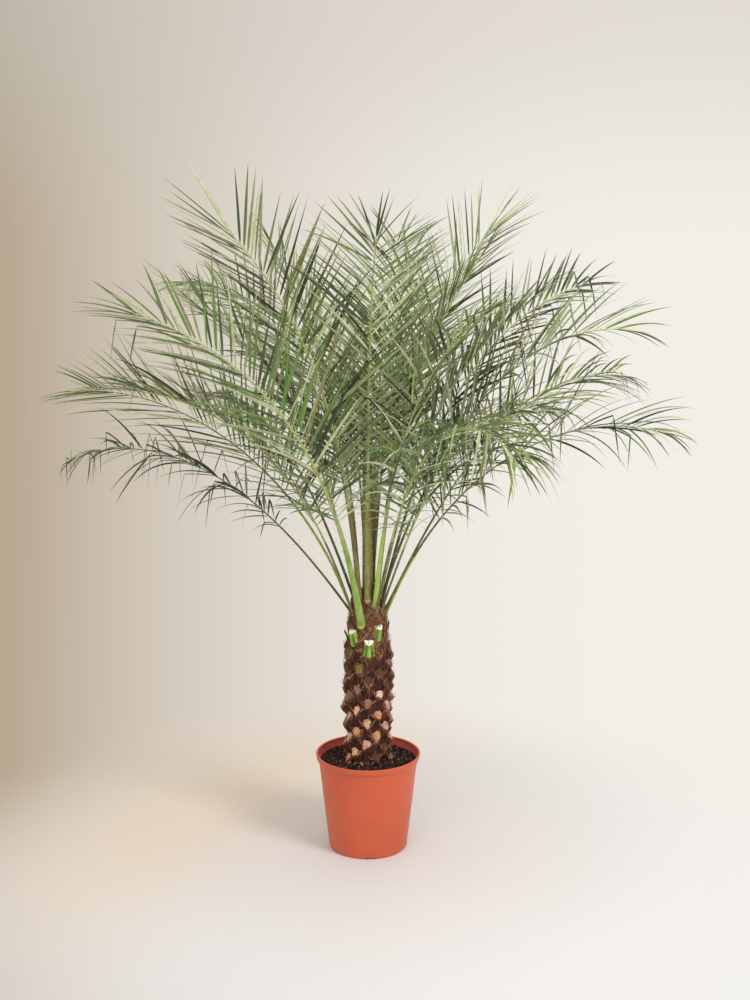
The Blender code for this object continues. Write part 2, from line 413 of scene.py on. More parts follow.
def makePotFinish(name, colour, deep):
    finish = Finish(name, specular_ior_level=0.5)
    cloud = finish.noise(9, 4, 0.6)
    scuffs = finish.noise(60, 6, 0.7, (1, 1, 7)).band(0.60, 0.74)
    dust = finish.noise(260, 3, 0.6).band(0.62, 0.78) * finish.noise(14, 2).band(0.42, 0.66)
    base = finish.blend(cloud.band(0.35, 0.75) * 0.6, rgb(*colour), rgb(*deep))
    base = finish.blend((scuffs * 0.16) + (dust * 0.22), base, rgb(*pot["dustColour"]))
    finish.feed(base_color=base, roughness=0.34 + 0.10 * cloud + 0.14 * scuffs + 0.12 * dust)
    finish.bump(finish.noise(420, 3) + 4 * finish.noise(24, 2), 0.0001, 0.5)
    return finish


def slotCutters():
    cutters = Pile()
    half, tall = pot["slotWidth"] / 2, pot["slotHeight"]
    for number in range(pot["slots"]):
        heading = pot["firstSlot"] + 360 * number / pot["slots"]
        out, side = spoke(heading), spoke(heading + 90)
        middle = out * pot["footRadius"]
        rows = []
        for width, height in ((half, -0.004), (half, tall * 0.6), (half * 0.86, tall)):
            corners = ((-1, -1), (1, -1), (1, 1), (-1, 1))
            rows.append([
                middle + out * pot["slotDepth"] * x + side * width * y + up * height for x, y in corners
            ])
        cutters.grid(rows, around=True, fillEnds=True)
    return addObject("slots", cutters.mesh("slots"))


def makePot():
    outline, insideFrom = potOutline()
    lipHighlightFrom = insideFrom - 6
    headings = [360 * i / pot["sides"] for i in range(pot["sides"])]
    rows = [[polar(heading, max(radius, 0.0002), z) for heading in headings] for radius, z in outline]
    pile = Pile()
    # rows inside take the darker inside finish, painted shade, and rows over the lip the pale lip finish, a
    # painted highlight
    pile.grid(rows, lambda i, j: 1 if i >= insideFrom else 2 if i >= lipHighlightFrom else 0, True, True)
    finishes = [makePotFinish(name, *colours) for name, colours in pot["colours"].items()]
    piece = pile.piece("pot_shell", finishes, "pot_plastic", ["pot"], sharp=50)
    cutter = slotCutters()
    boolean = piece.modifiers.new("slots", "BOOLEAN")
    boolean.operation = "DIFFERENCE"
    boolean.object = cutter
    bpy.context.view_layer.update()
    cut = bpy.data.meshes.new_from_object(piece.evaluated_get(bpy.context.evaluated_depsgraph_get()))
    piece.modifiers.clear()
    piece.data = cut
    bpy.data.objects.remove(cutter)


makePot()
print("pot ready")

soil = {
    "edge": 0.206, "heap": 0.2095, "socket": 0.049,
    "gap": 0.0004,  # to the pot's wall
    "sides": 150, "rings": 30,
    "crumbs": 5200, "crumbSize": (0.0018, 0.0056),
    "chips": 120, "chipSize": (0.004, 0.010),
    "flecks": 110, "fleckSize": (0.0012, 0.0026),
    "bedTones": ((28, 18, 15), (70, 44, 35)),
    "crumbTones": {
        "peat": (46, 27, 22),
        "dark": (26, 16, 14),
        "rust": (88, 50, 38),
        "bark": (104, 70, 54),
    },
    "crumbShares": (5, 4, 2.2, 0.9),
    "fleckTone": (226, 208, 200),
    "chipTones": ((120, 88, 66), (70, 46, 34)),
}


def soilHeight(radius, heading):
    rim = potWall(soil["edge"]) - pot["wall"]
    share = clamp((radius - soil["socket"]) / (rim - soil["socket"]))
    swell = noise(polar(heading, radius, 0) * 38) * 0.0022
    drift = 0.005 * max(0, cos(radians(heading - 330))) * (1 - share) ** 1.5
    return lerp(soil["heap"], soil["edge"], share**0.7) + swell * (1 - share * 0.6) + drift


def makeSoilBed(outer):
    headings = [360 * j / soil["sides"] for j in range(soil["sides"])]
    foot = potWall(pot["floor"]) - pot["wall"] - soil["gap"]
    rows = [[polar(heading, foot, pot["floor"] + soil["gap"]) for heading in headings]]
    for share in reversed(shares(soil["rings"])):
        radius = lerp(0.02, outer, share)
        row = []
        for heading in headings:
            grain = noise(spoke(heading) * radius * 340) * 0.0011
            row.append(polar(heading, radius, soilHeight(radius, heading) + grain))
        rows.append(row)
    bed = Pile()
    bed.grid(rows, around=True, fillEnds=True)
    finish = mottled("potting soil", soil["bedTones"], (300, 5, 0.7), (0.35, 0.75), 0.0015)
    finish.feed(roughness=0.95, specular_ior_level=0.2)
    bed.piece("soil_bed", [finish], "soil", ["soil"])


def makeSoilCrumbs(rng, outer, shape):
    finishes = []
    for name, tone in soil["crumbTones"].items():
        tones = (tone, [c * 0.62 for c in tone])
        finishes.append(mottled("soil " + name, tones, (700, 3, 0.7), (0.4, 0.7), 0.0006, **dull))
    crumbs = Pile()
    for _ in range(soil["crumbs"]):
        radius = sqrt(rng.uniform(soil["socket"] ** 2, (outer - 0.0015) ** 2))
        heading = rng.uniform(0, 360)
        size = rng.uniform(*soil["crumbSize"]) * (1.5 if rng.random() < 0.06 else 1)
        height = soilHeight(radius, heading) + size * rng.uniform(0.0, 0.35)
        place = polar(heading, min(radius, outer - size * 0.6), height)
        axis = Vector([rng.gauss(0, 1) for _ in range(3)]).normalized()
        turn = Matrix.Rotation(rng.uniform(0, tau), 4, axis)
        sizes = (size, size * rng.uniform(0.6, 1), size * rng.uniform(0.6, 1))
        crumbs.lump(shape, place, turn, sizes, rng.choices(range(4), soil["crumbShares"])[0])
    crumbs.piece("soil_crumbs", finishes, "soil", sharp=False)


def makeSoilBits(rng, outer, shape):
    # pale flecks and flat chips of wood that lie on the crumbs
    pale = Finish("soil fleck", base_color=rgb(*soil["fleckTone"]), roughness=0.8)
    wood = mottled("soil chip", soil["chipTones"], (500, 4, 0.6), (0.35, 0.65), roughness=0.8)
    bits = Pile()
    for number in range(soil["chips"] + soil["flecks"]):
        isFleck = number >= soil["chips"]
        radius = sqrt(rng.uniform((soil["socket"] + 0.004) ** 2, (outer - 0.006) ** 2))
        heading = rng.uniform(0, 360)
        size = rng.uniform(*soil["fleckSize" if isFleck else "chipSize"])
        place = polar(heading, radius, soilHeight(radius, heading) + 0.0022)
        turn = Matrix.Rotation(rng.uniform(0, tau), 4, "Z") @ Matrix.Rotation(rng.gauss(0, 0.5), 4, "X")
        thin = 0.8 if isFleck else rng.uniform(0.18, 0.4)
        sizes = (size, size * thin, size * min(thin, 0.3))
        bits.lump(shape, place, turn, sizes, 0 if isFleck else 1)
    bits.piece("soil_bits", [pale, wood], "soil", sharp=False)


def makeSoil():
    rng = random.Random(11)
    outer = potWall(soil["edge"]) - pot["wall"] - soil["gap"]
    makeSoilBed(outer)
    makeSoilCrumbs(rng, outer, crumbShape())
    makeSoilBits(rng, outer, crumbShape())


makeSoil()
print("soil ready")

trunk = {
    "outline": (  # height and radius
        (0.200, 0.052), (0.250, 0.051), (0.300, 0.0515), (0.360, 0.055), (0.460, 0.055), (0.500, 0.049),
        (0.540, 0.043), (0.563, 0.040), (0.587, 0.034), (0.610, 0.020), (0.622, 0.006),
    ),
    "core": (0.2005, 0.6215), "coreSides": 120, "coreRows": 170,
    "sheathFrom": 0.490,
    "bark": 0.011,  # thickness of the leaf bases over the core
    "knobs": 34,  # root knobs round the foot
    "knobHeights": (0.207, 0.217),
    "fibres": 2400,
    "fibreHeights": (0.206, 0.50),
    "flaps": 46,
    "flapHeights": (0.462, 0.592),
    "weave": 1100,  # strands of the sheath under the crown
    "weaveHeights": (0.455, 0.598, 0.56),  # from, to and where most are
    "barks": {  # dark and light, how drawn out the strands are and how high they stand
        "bark": ((56, 31, 24), (98, 59, 46), 0.18, 0.0012),
        "husk": ((80, 45, 35), (148, 98, 76), 0.14, 0.0012),
        "pale husk": ((112, 72, 57), (196, 148, 122), 0.14, 0.0012),
        "sheath": ((74, 41, 30), (138, 90, 66), 0.12, 0.0008),
        "sheath dark": ((50, 28, 21), (98, 62, 45), 0.10, 0.0008),
        "fibre brown": ((58, 36, 27), (104, 70, 50), 0.18, 0.0012),
        "fibre rust": ((98, 58, 40), (156, 102, 72), 0.18, 0.0012),
        "fibre pale": ((146, 110, 82), (196, 158, 122), 0.18, 0.0012),
    },
}
leafBases = {
    "lowest": 0.1955, "highest": 0.500,
    "rise": 0.00385,  # from one leaf base to the next
    "firstHeading": 96.9, "turn": -138.3,
    "halfWidth": 0.0098, "halfHeight": 0.0114, "proud": 0.0025,
    "lean": 34,  # of the stumps, off upright
    "slope": 0.48,  # how far a cut face falls back over its height
    "sides": 30, "hairs": 14,
    "paleFrom": 0.258,  # between these heights most of the cut faces are still pale
    "paleTo": 0.398,
    "tones": {  # the cut faces that show in front, by number
        9: "brown", 12: "tan", 17: "pink", 22: "orange", 25: "orange", 30: "tan", 33: "pink", 35: "orange",
        38: "tan", 40: "pink", 43: "rose", 46: "rose", 48: "cream", 51: "rose", 56: "brown", 64: "olive",
        69: "olive", 72: "olive",
    },
    # each ring of a stump: how far out over the face, how far back down, how much wider, how rough
    "rings": (
        (0.12, 0, 1, 0.6), (0.36, 0, 1, 1), (0.62, 0, 1, 1.2), (0.84, 0, 1, 1.2), (0.98, -0.0007, 1, 1.6),
        (1.09, 0.0004, 1, 1.8), (1.12, 0.0032, 1.02, 1.3), (1.12, 0.0080, 1.08, 1.3),
        (1.10, 0.0140, 1.12, 1.2), (1.04, 0.0210, 1.12, 1), (0.92, 0.0290, 1.08, 0.8),
    ),
    "cuts": {  # light and dark
        "cream": ((226, 202, 174), (178, 142, 114)),
        "tan": ((224, 182, 146), (168, 118, 84)),
        "orange": ((212, 156, 114), (148, 94, 66)),
        "pink": ((214, 172, 146), (152, 106, 86)),
        "rose": ((162, 122, 102), (96, 64, 50)),
        "brown": ((104, 68, 50), (58, 36, 27)),
        "olive": ((134, 126, 64), (70, 56, 38)),
    },
}
cutStalks = {
    "places": {  # heading and height
        "cut_stalk_1": (224, 0.509),
        "cut_stalk_2": (273, 0.488),
        "cut_stalk_3": (303, 0.523),
        "cut_stalk_4": (188, 0.470),
        "cut_stalk_5": (346, 0.506),
        "cut_stalk_6": (132, 0.498),
        "cut_stalk_7": (66, 0.484),
    },
    "height": 0.038, "lean": 14, "footHalf": 0.0145, "topHalf": 0.0098, "thick": 0.0150,
    "notch": 0.0065, "steps": 10,
    "faded": ("cut_stalk_4", "cut_stalk_5"),  # weathered to olive, and no pale cut
    "trim": {"cut_stalk_3": (0.92, 0.000), "cut_stalk_4": (0.72, 0.005), "cut_stalk_5": (0.84, 0.006)},
    "outline": (
        (-1, 0), (-1, 0.36), (-0.70, 0.62), (-0.42, 0.90), (-0.30, 0.84), (0, 1), (0.30, 0.84),
        (0.42, 0.90), (0.70, 0.62), (1, 0.36), (1, 0),
    ),
    "keels": (2, 3, 6, 7),
    "green": ((156, 182, 84), (114, 148, 52)),
    "keel": ((96, 132, 44), (70, 104, 34)),
    "olive": ((140, 134, 74), (84, 62, 42)),
    "cut": ((240, 236, 222), (222, 208, 184)),
}


def trunkRadius(height):
    outline = trunk["outline"]
    if height <= outline[0][0]:
        return outline[0][1]
    for (low, lowRadius), (high, highRadius) in zip(outline, outline[1:]):
        if height <= high:
            return lerp(lowRadius, highRadius, (height - low) / (high - low))
    return 0.001


def coreRadius(height):
    thickness = lerp(trunk["bark"], 0.0015, clamp((height - 0.47) / 0.06))
    return max(trunkRadius(height) - thickness, 0.002)


def makeTrunkCore(finishes):
    rows = []
    for share in shares(trunk["coreRows"]):
        height = lerp(*trunk["core"], share)
        core = coreRadius(height)
        row = []
        for j in range(trunk["coreSides"]):
            heading = 360 * j / trunk["coreSides"]
            place = polar(heading, core, height)
            strand = noise(Vector((place.x * 420, place.y * 420, place.z * 50)))
            lumps = noise(place * 95)
            relief = (strand * 0.0012 + lumps * 0.0026) * min(1, core / 0.03)
            row.append(place + spoke(heading) * relief)
        rows.append(row)
    pile = Pile()
    pile.grid(rows, lambda i, j: 1 if rows[i][0].z > trunk["sheathFrom"] else 0, True, True)
    pile.piece("trunk_core", finishes, "bark", ["trunk"])


def baseTone(rng, number, height):
    if number in leafBases["tones"]:
        return leafBases["tones"][number]
    if height > leafBases["paleTo"]:
        return rng.choices(("brown", "rose", "olive"), (7, 1, 1.2))[0]
    if height < leafBases["paleFrom"]:
        return rng.choices(("brown", "rose", "tan", "pink"), (4, 3, 1, 2))[0]
    return rng.choices(("cream", "tan", "orange", "pink", "rose"), (2, 3, 2.4, 2.6, 1.6))[0]


def addLeafBase(pile, rng, heading, height, size, tone, husks):
    # a keeled stump that points up and out: its ragged cut face, the rim, and flanks down into the core
    lean = radians(leafBases["lean"] + rng.gauss(0, 4))
    skew = radians(rng.gauss(0, 13))
    fresh = height < leafBases["paleTo"]
    lip = rng.uniform(0.0022, 0.0052) if fresh else rng.uniform(0.0004, 0.0036)
    slope = leafBases["slope"] * rng.uniform(0.8, 1.2)
    half = leafBases["halfWidth"] * size * rng.uniform(0.86, 1.1)
    tall = leafBases["halfHeight"] * size * rng.uniform(0.85, 1.2)
    seed = rng.uniform(0, 90)
    trunkHere = trunkRadius(height) + leafBases["proud"]
    rows = []
    for reach, back, wide, rough in leafBases["rings"]:
        row = []
        for j in range(leafBases["sides"]):
            angle = tau * j / leafBases["sides"]
            c, s = cos(angle), sin(angle)
            ragged = 1 + 0.30 * noise(Vector((c * 1.4 + seed, s * 1.4, 0))) * reach
            ragged += 0.22 * noise(Vector((c * 5, s * 5, seed))) * reach**3
            x = half * c * ragged * reach * wide
            # pointed at the keel below, and nearly level where the face meets the trunk above
            z = tall * (0.82 * s**0.6 if s > 0 else -(1 - abs(c) ** 1.25)) * ragged * reach
            depth = lip - slope * (z + tall) - 26 * x * x
            across = swing(x, -z, skew)
            rise = swing(z, x, skew) - back * cos(lean)
            depth -= back * sin(lean)
            spot = Vector((across, rise, seed)) * 330
            depth += noise(Vector((spot.x, spot.y * 0.4, seed))) * 0.0013 * rough
            radius = trunkHere + depth
            row.append(polar(heading + degrees(across / max(radius, 0.012)), radius, height + rise))
        rows.append(row)
    # the rim rows take the lighter husk and the rings back down under it the dark one: partly the husks' own
    # browns, partly painted highlight on the rim and painted shade under it
    light, dark = husks
    pile.grid(rows, lambda i, j: tone if i < 4 else light if i < 6 + (j % 5 == 0) else dark, True, True)
    return rows[5]


def addRibbon(pile, height, heading, slant, length, width, proud, lift, finish):
    # a flat strand laid slantwise over the trunk, its end lifting off a little
    rows = []
    for share in shares(6):
        z = height + length * cos(slant) * share
        radius = max(coreRadius(z), 0.008) + proud + lift * share**2
        turned = heading + degrees(length * sin(slant) * share / max(radius, 0.015))
        half = swing(spoke(turned + 90), -up, slant) * width / 2 * (1 - 0.7 * share)
        middle = polar(turned, radius, z)
        rows.append((middle - half, middle + half))
    pile.grid(rows, finish)


def addStrand(pile, place, direction, length, width, bend, finish, segments=4):
    # a thin flat fibre that curves as it goes
    direction = direction.normalized()
    across = direction.cross(bend)
    if across.length < 0.01:
        across = direction.orthogonal()
    across.normalize()
    rows = []
    point = place.copy()
    heading = direction.normalized()
    for share in shares(segments):
        half = across * width / 2 * (1 - 0.8 * share)
        rows.append((point - half, point + half))
        heading = (heading + bend / segments).normalized()
        point = point + heading * length / segments
    pile.grid(rows, finish)


def dealHair(rng, heading, rise, sway, stand, curl):
    # which way a fibre sets off from the trunk, and how it bends
    out, side = spoke(heading), spoke(heading + 90)
    direction = up * rise + side * rng.gauss(0, sway) + out * rng.uniform(*stand)
    bend = out * rng.uniform(-curl, 0.3) + side * rng.gauss(0, sway - 0.1) - up * rng.uniform(0, sway)
    return direction, bend


def addTornEdges(pile, rng, heading, height):
    # the torn edges of a leaf base, laid slantwise up both sides of it
    tints = (1, 2, 2) if height < leafBases["paleTo"] + 0.03 else (0, 1, 1)
    for sign in (-1, 1):
        for _ in range(rng.choice((1, 2, 3))):
            slant = sign * radians(rng.gauss(38, 9))
            start = height - rng.uniform(0.1, 0.7) * leafBases["halfHeight"]
            aside = rng.uniform(0.5, 1.1) * leafBases["halfWidth"] / trunkRadius(height)
            turned = heading + sign * degrees(aside)
            length = rng.uniform(0.014, 0.030)
            width = rng.uniform(0.0012, 0.0032)
            proud = trunk["bark"] + rng.uniform(-0.003, 0.002)
            tint = rng.choice(tints)
            addRibbon(pile, start, turned, slant, length, width, proud, rng.uniform(0, 0.005), tint)


def isCrowded(heading, height):
    # too near to a green stump
    return any(
        abs((heading - stalk + 180) % 360 - 180) < 22 and abs(height - middle) < 0.032
        for stalk, middle in cutStalks["places"].values()
    )


def makeLeafBases(finishes):
    rng = random.Random(5)
    pile = Pile()
    rims = []
    count = int((leafBases["highest"] - leafBases["lowest"]) / leafBases["rise"])
    for number in range(count):
        height = leafBases["lowest"] + number * leafBases["rise"]
        heading = leafBases["firstHeading"] + number * leafBases["turn"]
        size = rng.uniform(0.84, 1.12) * (1 if height < leafBases["paleTo"] else 0.86)
        tone = list(leafBases["cuts"]).index(baseTone(rng, number, height))
        husks = rng.choice(((1, 0), (1, 0), (2, 0), (2, 1)))
        if isCrowded(heading, height):
            continue
        rims.append((heading, addLeafBase(pile, rng, heading, height, size, tone + 3, husks)))
        addTornEdges(pile, rng, heading, height)
    # fibres that stand off the rims
    for heading, rim in rims:
        for _ in range(leafBases["hairs"]):
            place = rng.choice(rim)
            direction, bend = dealHair(rng, heading, rng.uniform(0.3, 1), 0.5, (0.1, 0.7), 0.5)
            length = rng.uniform(0.004, 0.012)
            width = rng.uniform(0.0006, 0.0018)
            tint = rng.choice((0, 1, 2))
            addStrand(pile, place - direction * 0.001, direction, length, width, bend, tint)
    pile.piece("leaf_bases", finishes, "bark", sharp=44)


def makeRootKnobs(finishes):
    rng = random.Random(41)
    pile = Pile()
    shape = crumbShape()
    for number in range(trunk["knobs"]):
        heading = number * goldenAngle + rng.uniform(-10, 10)
        radius = trunkRadius(0.2) + rng.uniform(-0.001, 0.011)
        size = rng.uniform(0.008, 0.016)
        place = polar(heading, radius, rng.uniform(*trunk["knobHeights"]))
        tilt = Matrix.Rotation(radians(rng.gauss(0, 25)), 4, "X")
        turn = Matrix.Rotation(radians(heading), 4, "Z")
        sizes = (size * 0.55, size * 0.7, size * rng.uniform(0.9, 1.5))
        pile.lump(shape, place, turn @ tilt, sizes, rng.choice((0, 1, 2)))
    rounding = pile.piece("root_knobs", finishes, "bark").modifiers.new("rounding", "SUBSURF")
    rounding.levels = rounding.render_levels = 1


def makeFibres(finishes):
    rng = random.Random(23)
    pile = Pile()
    for _ in range(trunk["fibres"]):
        height = rng.choice((rng.uniform(*trunk["fibreHeights"]), rng.triangular(0.37, 0.52, 0.44)))
        heading = rng.uniform(0, 360)
        place = polar(heading, trunkRadius(height) - rng.uniform(0.002, 0.007), height)
        direction, bend = dealHair(rng, heading, rng.choice((1, 1, 1, -1)), 0.6, (0.0, 0.4), 0.8)
        length = rng.uniform(0.006, 0.018)
        width = rng.uniform(0.0005, 0.0013)
        addStrand(pile, place, direction, length, width, bend, rng.choices((0, 1, 2), (5, 2, 1))[0])
    pile.piece("bark_fibres", finishes, "bark")


def makeFlaps(finishes):
    # torn pointed flaps round the crown's foot
    rng = random.Random(31)
    flaps = Pile()
    for number in range(trunk["flaps"]):
        height = lerp(*trunk["flapHeights"], (number + 0.5) / trunk["flaps"])
        heading = number * goldenAngle + rng.uniform(-15, 15)
        width = rng.uniform(0.014, 0.026)
        tall = rng.uniform(0.030, 0.056)
        proud = rng.uniform(-0.0005, 0.0022)
        lean = rng.gauss(0, 0.3)
        outward = rng.uniform(0.003, 0.0105)
        rows = []
        for share in shares(8):
            z = height + tall * (share - 0.5)
            radius = max(coreRadius(z), 0.010) + proud + outward * share**1.6
            half = width / 2 * (1 - 0.94 * share**1.7)
            row = []
            for s in (-1, -2 / 3, -1 / 3, 0, 1 / 3, 2 / 3, 1):
                ragged = noise(Vector((s * 5, number, 0))) * 0.010 * share**2
                angle = (s * half + lean * tall * share) / max(radius, 0.012)
                rough = noise(Vector((s * 4, share * 5, number))) * 0.0020
                depth = radius + rough - 0.003 * abs(s) ** 3
                row.append(polar(heading + degrees(angle), depth, z + ragged))
            rows.append(row)
        flaps.grid(rows, rng.choices((0, 1, 2), (3, 2, 1))[0])
    flaps.piece("sheath_flaps", finishes, "bark")
    return rng


def makeWeave(rng, finishes):
    # strands that cross over the flaps
    weave = Pile()
    for _ in range(trunk["weave"]):
        start = rng.triangular(*trunk["weaveHeights"])
        heading = rng.uniform(0, 360)
        slant = rng.choice((-1, 1)) * radians(rng.gauss(34, 14))
        length = rng.uniform(0.014, 0.040)
        width = rng.uniform(0.0006, 0.0018)
        proud = rng.uniform(0.0012, 0.0058)
        lift = rng.uniform(0, 0.0035)
        tint = rng.choices((0, 1, 2), (4, 4, 3))[0]
        addRibbon(weave, start, heading, slant, length, width, proud, lift, tint)
    weave.piece("sheath_weave", finishes, "bark")


def makeCutStalks(fresh, faded):
    # each list holds the finish of the flanks, of the cut and of the keels
    lean = radians(cutStalks["lean"])
    for name, (heading, height) in cutStalks["places"].items():
        size, inset = cutStalks["trim"].get(name, (1, 0))
        out, side = spoke(heading), spoke(heading + 90)
        along = swing(up, out, lean)
        front = swing(out, -up, lean)
        foot = polar(heading, trunkRadius(height) - 0.008 - inset, height)
        foot -= along * cutStalks["height"] / 2
        rows = []
        for share in shares(cutStalks["steps"]):
            half = lerp(cutStalks["footHalf"], cutStalks["topHalf"], share**0.8) * (0.5 + size / 2)
            row = []
            for s, r in cutStalks["outline"]:
                rise = along * (cutStalks["height"] * size * share - cutStalks["notch"] * r * share**8)
                point = foot + rise + side * half * s + front * cutStalks["thick"] * r
                shake = Vector([noise(point * 160 + up * shift) for shift in (0, 31, 67)])
                row.append(point + shake * 0.0004)
            rows.append(row)
        pile = Pile()
        last = cutStalks["steps"] - 1
        pile.grid(rows, lambda i, j: 2 if j in cutStalks["keels"] and i < last else 0)
        # the cut: a narrow bevel, then the face
        top = rows[-1]
        count = len(top)
        middle = sum((Vector(point) for point in top), Vector()) / count
        first = len(pile.points)
        pile.points.extend(top + [lerp(point, middle, 0.16) + along * 0.0003 for point in top])
        for j in range(count):
            k = (j + 1) % count
            pile.face((first + j, first + k, first + count + k, first + count + j), 1)
        pile.face(range(first + count, first + 2 * count), 1)
        finishes = faded if name in cutStalks["faded"] else fresh
        pile.piece(name.replace("stalk", "stalk_stump"), finishes, "cut_stalk", [name], sharp=42)


def makeTrunk():
    barks = {}
    for name, (dark, light, stretch, height) in trunk["barks"].items():
        barks[name] = mottled(
            name, (dark, light), (430, 5, 0.65, (1, 1, stretch)), (0.40, 0.66), height,
            (46, 0.52, 0.8, 0.5, 0.45), **dull
        )
    cuts = []
    for name, tones in leafBases["cuts"].items():
        cuts.append(mottled(
            name + " cut", tones, (620, 4, 0.7, (1, 1, 0.45)), (0.44, 0.62), 0.0012,
            (190, 0.52, 0.68, 0.55, 0.5), **{**dull, "roughness": 0.86}
        ))
    husks = [barks["bark"], barks["husk"], barks["pale husk"]]
    sheath, rust, pale = barks["sheath"], barks["fibre rust"], barks["fibre pale"]
    makeTrunkCore([barks["bark"], sheath])
    makeLeafBases(husks + cuts)
    makeRootKnobs(husks)

    flank = (120, 3, 0.5, (1, 1, 0.25))
    stumps = {
        "green": mottled("stump green", cutStalks["green"], flank, (0.35, 0.7), roughness=0.5),
        "keel": mottled("stump keel", cutStalks["keel"], (160, *flank[1:]), (0.35, 0.7), roughness=0.5),
        "olive": mottled("stump olive", cutStalks["olive"], flank, (0.35, 0.7), roughness=0.6),
        "cut": mottled("stump cut", cutStalks["cut"], (700, 4, 0.6), (0.4, 0.7), roughness=0.6),
    }
    for name, height in (("green", 0.0004), ("olive", 0.0005)):
        stumps[name].bump(stumps[name].noise(420, 3, 0.6, (1, 1, 0.12)), height)
    makeCutStalks([stumps["green"], stumps["cut"], stumps["keel"]], [stumps["olive"]] * 3)

    makeFibres([barks["fibre brown"], rust, pale])
    rng = makeFlaps([sheath, barks["sheath dark"], rust, pale])
    makeWeave(rng, [sheath, rust, pale])


makeTrunk()
print("trunk ready")

# How each ring of the crown grows: the leaflets' greatest length and how much of it the last ones
# lose, where the rib stops, the leaflets' angles off the rib at its foot, middle and tip, then how
# they lift, hang, stray and fold over, what share of them is missing, how broad they are, the half
# width of the stalk at its foot and top, and its tint, with how far up the bare stalk that goes.
rings = {
    "low": {
        "leaf": 0.190, "taper": 0.55, "end": 0.92, "splay": (60, 43, 22), "lift": 20, "droop": 0.9,
        "stray": 8, "kinks": 0.06, "gaps": 0.10, "broad": 0.90, "stalk": (0.0044, 0.0028),
        "petiole": "dark", "tinted": 1.0, "rachis": "deep", "greens": "deep",
    },
    "middle": {
        "leaf": 0.212, "taper": 0.46, "end": 0.915, "splay": (60, 45, 30), "lift": 16, "droop": 0.32,
        "stray": 5, "kinks": 0.03, "gaps": 0.03, "broad": 1.0, "stalk": (0.0050, 0.0034),
        "petiole": "dark", "tinted": 0.8, "rachis": "fresh", "greens": "middle",
    },
    "inner": {
        "leaf": 0.225, "taper": 0.34, "end": 0.90, "splay": (56, 47, 42), "lift": 13, "droop": 0.14,
        "stray": 4, "kinks": 0.01, "gaps": 0.0, "broad": 1.0, "stalk": (0.0058, 0.0038),
        "petiole": "scurfy", "tinted": 0.8, "rachis": "fresh", "greens": "fresh",
    },
    "heart": {
        "leaf": 0.165, "taper": 0.46, "end": 0.90, "splay": (38, 30, 22), "lift": 14, "droop": 0.15,
        "stray": 3, "kinks": 0.0, "gaps": 0.0, "broad": 0.9, "stalk": (0.0078, 0.0040),
        "petiole": "scurfy", "tinted": 0.8, "rachis": "fresh", "greens": "fresh",
    },
}


def grow(kind, heading, foot, lean, bend, length, turn, roll=0, **own):
    # lean is the pair at the foot and the tip, and roll lowers the leaflets of one side
    course = {
        "heading": heading, "foot": foot, "lean": lean, "bend": bend, "length": length, "turn": turn
    }
    return SimpleNamespace(**{**rings[kind], **course, "roll": roll, **own})


